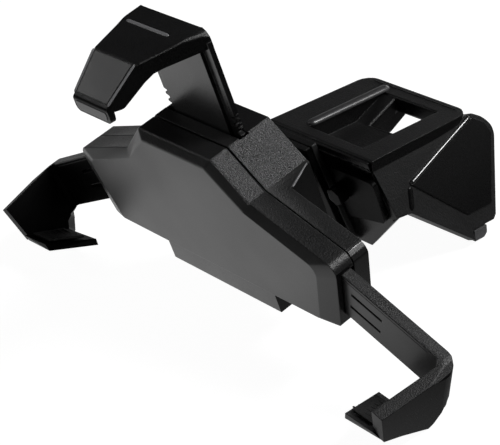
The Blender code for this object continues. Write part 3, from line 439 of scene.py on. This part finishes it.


# Fronts take the satin plastic and sides its darker smooth copy, painted shade
dressed("front_shell", [FACE, TOP, SMOOTH, SPECKLED, TOP], shell_faces, 0.5)
dressed("rear_shell", [DULL, TOP, SMOOTH, SPECKLED, GLOSS], shell_faces, 0.35)
dressed("hook_arm", [SLIDER, TOP, SMOOTH], hook_faces, 0.7, change=shape_hook)
for _, word in SIDES:
    # The left arm is the same plastic as the right one, drawn all in the painted-shade black
    dressed(word + "_arm", [FACE, RIM, SMOOTH] if word == "right" else [SHADE_BLACK, SHADE_BLACK, SHADE_BLACK], by_side, 0.6)
    dressed(word + "_shelf_pad", [RUBBER], width=0.2)
    dressed(word + "_pinion", [ACETAL], width=0.06)
    dressed(word + "_pinion_pin", [STEEL], width=0.15)
    dressed(word + "_foot_pad", [CLEAR])
# The bracket's fronts take the darker smooth copy as well: painted shade
dressed("base_bracket", [SMOOTH, TOP, SMOOTH], by_side, 0.8, 4, change=round_leg_corners)
# The mount block, the lever plate and the lever nut are darkened with the painted-shade black
dressed("mount_block", [SHADE_BLACK, TOP, SHADE_BLACK], by_side)
dressed("block_seat", [DULL, TOP, DULL], by_side)
dressed("lever_plate", [SHADE_BLACK, SHADE_BLACK, SMOOTH], by_side)
dressed("lever_nut", [SHADE_BLACK], width=0.25)
dressed("hook_pad", [RUBBER], width=0.1)
dressed("front_pad", [CLEAR], width=0.15)
for node, mat in (("socket_cup", DULL), ("collar_nut", DULL), ("socket_liner", RUBBER),
                  ("pressure_cup", ACETAL), ("ball_stud", STEEL), ("case_screw_1", STEEL),
                  ("case_screw_2", STEEL), ("case_screw_3", STEEL), ("case_screw_4", STEEL)):
    dressed(node, [mat], width=0.12, angle=40)
for _, word in SIDES:
    spring = NODES[word + "_spring"].data
    spring.materials.clear()
    spring.materials.append(WIRE)


# Bracket: the raised edge of its recess, the rear step, and the fields and ridges of its legs
LEG_FIELD = ((35.4, 1.8), (38.7, 4.4), (39.9, 7.6), (32.9, 24.4), (24.5, 24.4), (10.5, 10.4))

deck_up = bracket(0, 0, 1) - bracket(0, 0, 0)
# The recess's raised edge is drawn lighter than the deck: a painted highlight
ridge("recess_ridge", "base_bracket", bracket(-9.2, 5.2, 0), bracket(-9.2, 33.0, 0), deck_up, 3.0, 1.0, SOFT,
      taper=1.6)
ridge("rear_step", "base_bracket", bracket(-15.5, 33.6, 0), bracket(16.0, 33.6, 0), deck_up, 0.5, 0.16,
      SMOOTH)
for side, word in SIDES:
    leg = leg_point(side)
    outwards = leg(20, 10, -1) - leg(20, 10, 0)
    field = [leg(y, down, 0.1) for y, down in LEG_FIELD]
    panel(word + "_leg_field", "base_bracket", field, outwards * 0.45, SMOOTH, 0.3)
    ridge(word + "_leg_ridge", "base_bracket", leg(34.9, 1.5), leg(10.5, 10.4), outwards, 1.5, 0.85, GLOSS)
    ridge(word + "_leg_foot_ridge", "base_bracket", leg(10.3, 10.8), leg(8.6, 16.6), outwards, 1.6, 0.35,
          SMOOTH)


# Hook: the raised line on its top, the ribs and field of its front facet, and the panel of its lip
def facet_point(x, share):
    """A point of the hook's front facet, a share of the way down it."""
    return cradle(x, HOOK_EDGE_Y + (HOOK_TIP_Y - HOOK_EDGE_Y) * share,
                  HOOK_EDGE_Z + (HOOK_TIP_Z - HOOK_EDGE_Z) * share)


LIP_PANEL = ((-5.9, 61.0), (5.9, 61.0), (6.3, 60.5), (6.0, 58.9), (5.5, 58.5), (-5.5, 58.5), (-6.0, 58.9),
             (-6.3, 60.5))

facet_out = (facet_point(0, 0) - facet_point(0, 1)).normalized().cross(Vector((-1, 0, 0)))
if facet_out.z < 0:
    facet_out = -facet_out
# The top line and the facet's ribs take the pale ridge colour: painted highlights
ridge("hook_top_line", "hook_arm", cradle(-10.4, 7.35, 68.4), cradle(6.6, 7.35, 68.4), Vector((0, 0, 1)),
      1.1, 0.29, EDGE)
for side, word in SIDES:
    ridge("hook_%s_rib" % word, "hook_arm", facet_point(side * 8.3, 0.05), facet_point(side * 6.8, 0.93),
          facet_out, 0.55, 0.35, EDGE, taper=0.8)
panel("hook_field", "hook_arm", [facet_point(-7.6, 0.06), facet_point(7.6, 0.06), facet_point(6.2, 0.9),
                                 facet_point(-6.2, 0.9)], facet_out * 0.1 * MM, FACE, 0.05)
panel("hook_lip_panel", "hook_arm", [cradle(x, HOOK_TIP_Y + 0.02, z) for x, z in LIP_PANEL],
      Vector((0, -0.14 * MM, 0)), SLIDER, 0.1)

# Slider: four ribs beside its right edge
RIB_X, RIB_FRONT_Y, RIB_BACK_Y = 14.2, 12.2, 13.2
RIB_LOW_Z, RIB_STEP, RIB_HIGH, RIB_OUT = 40.2, 1.3, 0.6, 0.4
for k in range(4):
    z = RIB_LOW_Z + RIB_STEP * k
    corners = ((RIB_FRONT_Y, z), (RIB_BACK_Y, z), (RIB_BACK_Y, z + RIB_HIGH), (RIB_FRONT_Y, z + RIB_HIGH))
    panel("slider_rib_%d" % k, "hook_arm", [cradle(RIB_X, y, z) for y, z in corners],
          Vector((RIB_OUT * MM, 0, 0)), SMOOTH, 0.08)

# Rear shell: the crease where each side of its box meets the wing, lightened as a painted highlight
for side, word in SIDES:
    ridge(word + "_crease", "rear_shell", cradle(side * 25.6, 20.1, 29.0), cradle(side * 28.5, 12.2, 28.1),
          Vector((side * 0.6, 0, 0.8)), 0.5, 0.25, EDGE, taper=0.8)

# Shelf pads: beads across each pad, placed from the pad's own box
for side, word in SIDES:
    pad = word + "_shelf_pad"
    low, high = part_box(pad)
    inner, outer = sorted((low.x, high.x), key=lambda x: side * x)
    for k in range(5):
        share = 0.18 + 0.16 * k
        y = low.y + (high.y - low.y) * share
        z = high.z - (high.z - low.z) * (0.80 * share + 0.02)
        ridge("%s_pad_bead_%d" % (word, k), pad, Vector((inner + side * 1.6 * MM, y, z)),
              Vector((outer - side * 1.6 * MM, y, z - 0.05 * MM)), Vector((0, 0.45, 0.9)), 0.55, 0.2, RUBBER,
              taper=0.5)

# Arms: the line of their top rim and the groove under it
for side, word in SIDES:
    at = arm_point(side)
    front = Vector((0, -1, 0))
    ridge(word + "_arm_groove", word + "_arm", at(36.0, 3.2, 36.3), at(66.5, 3.2, 36.3), front, 0.28, 0.06,
          RUBBER)
    ridge(word + "_arm_rim", word + "_arm", at(36.0, 3.35, 37.1), at(68.0, 3.35, 37.1), front, 0.7, 0.22, RIM)


# Floor, light and camera

FLOOR_GLOW, FLOOR_GLOW_SHARE = 1.2, 0.8


def floor_reflection(tree, coords):
    """What glossy surfaces see of the floor: bright near the front left, and far behind."""
    away = vector_math_of(tree, "DISTANCE", coords, (-0.08, -0.04, 0))
    front_left = vector_math_of(tree, "DOT_PRODUCT", coords, (-0.88, -0.47, 0))
    back = vector_math_of(tree, "DOT_PRODUCT", coords, (0, 1, 0))
    near = math_of(tree, "MULTIPLY", ramp(tree, away, 0.95, 0.08, (0.06, 0.32)),
                   ramp(tree, front_left, 0.10, 1.0, (-0.06, 0.03)))
    far = math_of(tree, "MULTIPLY", ramp(tree, away, 0.0, 0.8, (0.22, 0.40)),
                  ramp(tree, back, 0.0, 1.0, (0.05, 0.20)))
    return math_of(tree, "MAXIMUM", near, far)


def floor_paint():
    """Pale paint that glows a little for the camera, and that glossy surfaces see as lit in places."""
    mat, tree, bsdf = new_material("floor_paint")
    coords = add(tree, "ShaderNodeTexCoord").outputs["Object"]
    bsdf.inputs["Roughness"].default_value = 0.9
    bsdf.inputs["Specular IOR Level"].default_value = 0.1
    tree.links.new(coloured(tree, noise(tree, coords, 3, 2), (0.86, 0.86, 0.86), (0.9, 0.9, 0.9)),
                   bsdf.inputs["Base Color"])
    ray = add(tree, "ShaderNodeLightPath").outputs
    strength = add(tree, "ShaderNodeMix", data_type="FLOAT")
    strength.inputs[2].default_value = FLOOR_GLOW
    tree.links.new(ray["Is Glossy Ray"], strength.inputs[0])
    tree.links.new(floor_reflection(tree, coords), strength.inputs[3])
    glow = add(tree, "ShaderNodeEmission")
    tree.links.new(strength.outputs[0], glow.inputs["Strength"])
    seen = math_of(tree, "MULTIPLY", ray["Is Camera Ray"], FLOOR_GLOW_SHARE)
    share = math_of(tree, "MAXIMUM", seen, ray["Is Glossy Ray"])
    mix = feed(tree, add(tree, "ShaderNodeMixShader"), share, bsdf.outputs[0], glow.outputs[0])
    tree.links.new(mix.outputs[0], tree.nodes["Material Output"].inputs["Surface"])
    return mat


bm = bmesh.new()
bmesh.ops.create_grid(bm, x_segments=8, y_segments=8, size=3.0)
floor = link("floor", bm, [floor_paint()])
floor.location = (0, 0, CAD_LOW.z - 0.4 * MM)
floor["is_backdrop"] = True

# A dark sky for the object, and white where the camera looks past it
world = bpy.data.worlds.new("studio")
bpy.context.scene.world = world
world.use_nodes = True
tree = world.node_tree
split = feed(tree, add(tree, "ShaderNodeSeparateXYZ"), add(tree, "ShaderNodeTexCoord").outputs["Generated"])
sky = coloured(tree, split.outputs["Z"], (0.03, 0.03, 0.03), (0.012, 0.012, 0.013), (0.0, 0.4))
pick = add(tree, "ShaderNodeMix", data_type="RGBA")
pick.inputs[7].default_value = (1, 1, 1, 1)
tree.links.new(add(tree, "ShaderNodeLightPath").outputs["Is Camera Ray"], pick.inputs[0])
tree.links.new(sky, pick.inputs[6])
tree.links.new(pick.outputs[2], tree.nodes["Background"].inputs["Color"])
tree.nodes["Background"].inputs["Strength"].default_value = 1.0

# Each lamp: its direction from the object, distance in m, size in m and power in W
LAMPS = {
    "key": ((-0.726, -0.38, 0.57), 0.9, (0.26, 0.22), 0.5),
    "facet_light": ((0.52, 0.42, 0.74), 0.9, (0.26, 0.26), 3.8),
    "spark": ((0.58, 0.57, 0.57), 0.9, (0.14, 0.14), 2.6),
    "front_fill": ((0.10, -0.90, 0.55), 1.0, (0.5, 0.3), 0.8),
    "back_fill": ((-0.15, 0.95, 0.12), 1.0, (0.7, 0.3), 1.6),
}
middle = (CAD_LOW + CAD_HIGH) / 2
for name, (direction, distance, size, power) in LAMPS.items():
    light = bpy.data.lights.new(name, "AREA")
    light.shape = "RECTANGLE"
    light.size, light.size_y = size
    light.energy = power
    lamp = bpy.data.objects.new(name, light)
    bpy.context.scene.collection.objects.link(lamp)
    lamp.location = middle + Vector(direction) * distance
    lamp.rotation_mode = "QUATERNION"
    lamp.rotation_quaternion = (-Vector(direction)).to_track_quat("-Z", "Y")

# The camera fitted to the photo: focal length in pixels of a picture 500 wide, its place and its axes
FOCAL, PICTURE_WIDE, SENSOR = 1892.04, 500, 36.0
AXES = Matrix(((0.61989, 0.727769, -0.29341), (-0.296644, 0.563514, 0.771008),
               (0.726457, -0.390902, 0.565205)))

camera_data = bpy.data.cameras.new("camera")
camera_data.sensor_width = SENSOR
camera_data.lens = SENSOR * FOCAL / PICTURE_WIDE
camera_data.clip_start, camera_data.clip_end = 0.05, 20.0
camera = bpy.data.objects.new("camera", camera_data)
bpy.context.scene.collection.objects.link(camera)
bpy.context.scene.camera = camera
camera.location = cradle(349.70, -174.67, 277.38)
camera.rotation_mode = "QUATERNION"
camera.rotation_quaternion = AXES.transposed().to_quaternion()

bpy.context.scene.view_settings.view_transform = "Standard"

low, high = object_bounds()
